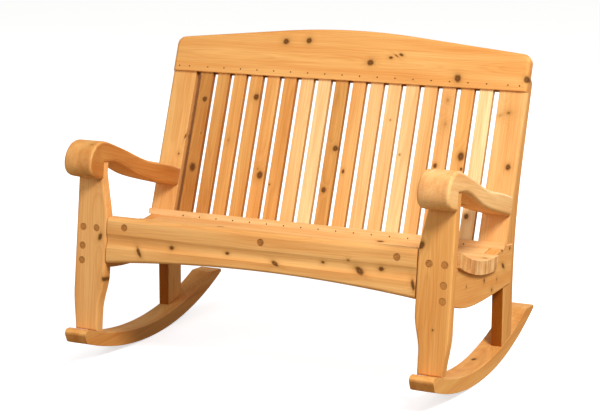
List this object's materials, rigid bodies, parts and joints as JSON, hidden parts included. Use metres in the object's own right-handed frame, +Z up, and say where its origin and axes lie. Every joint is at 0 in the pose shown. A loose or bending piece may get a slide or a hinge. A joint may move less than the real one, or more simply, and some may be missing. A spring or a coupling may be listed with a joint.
{
  "type": "double rocking bench",
  "caption": "Two-seat wooden garden rocker: raked slatted back under an arched crest, scooped plank seat, rolled arms and curved runners.",
  "frame": {"origin": "on the floor, midway between the bench's sides and midway between the rockers' noses and tails, with the bench leaning back to its own balance", "axes": "+X along the bench to the right of someone facing its front, -Y the way the seat faces, +Z up"},
  "size_m": [1.27, 0.8989, 0.9928],
  "materials": {
    "cedar": "clear-oiled knotty softwood, satin",
    "cedar_pale": "clear-oiled sapwood, satin",
    "plug_wood": "end-grain plug, oiled",
    "steel": "galvanised"
  },
  "bodies": {
    "root": {"rocker_left": "cedar", "rocker_right": "cedar", "front_leg_left": "cedar", "front_leg_right": "cedar", "rear_post_left": "cedar", "rear_post_right": "cedar", "side_rail_left": "cedar", "side_rail_right": "cedar", "front_rail": "cedar", "lower_back_rail": "cedar", "seat_bearer": "cedar", "seat_board_1": "cedar", "seat_board_2": "cedar_pale", "seat_board_3": "cedar", "seat_board_4": "cedar_pale", "seat_board_5": "cedar", "seat_board_6": "cedar_pale", "rear_seat_strip": "cedar_pale", "back_stile_left": "cedar", "back_stile_right": "cedar", "back_slat_01": "cedar", "back_slat_02": "cedar", "back_slat_03": "cedar_pale", "back_slat_04": "cedar", "back_slat_05": "cedar", "back_slat_06": "cedar_pale", "back_slat_07": "cedar", "back_slat_08": "cedar_pale", "back_slat_09": "cedar", "back_slat_10": "cedar", "back_slat_11": "cedar", "back_slat_12": "cedar_pale", "back_slat_13": "cedar", "back_slat_14": "cedar", "back_slat_15": "cedar", "back_slat_16": "cedar", "back_slat_17": "cedar_pale", "crest_rail": "cedar", "arm_left": "cedar", "arm_right": "cedar", "leg_plugs": "plug_wood", "rail_plugs": "plug_wood", "leg_screws": "steel", "rail_screws": "steel", "rocker_screws": "steel", "post_screws": "steel", "stile_screws": "steel", "arm_dowels": "cedar_pale", "rail_dowels": "cedar_pale", "crest_brads": "steel", "strip_brads": "steel"}
  },
  "joints": []
}
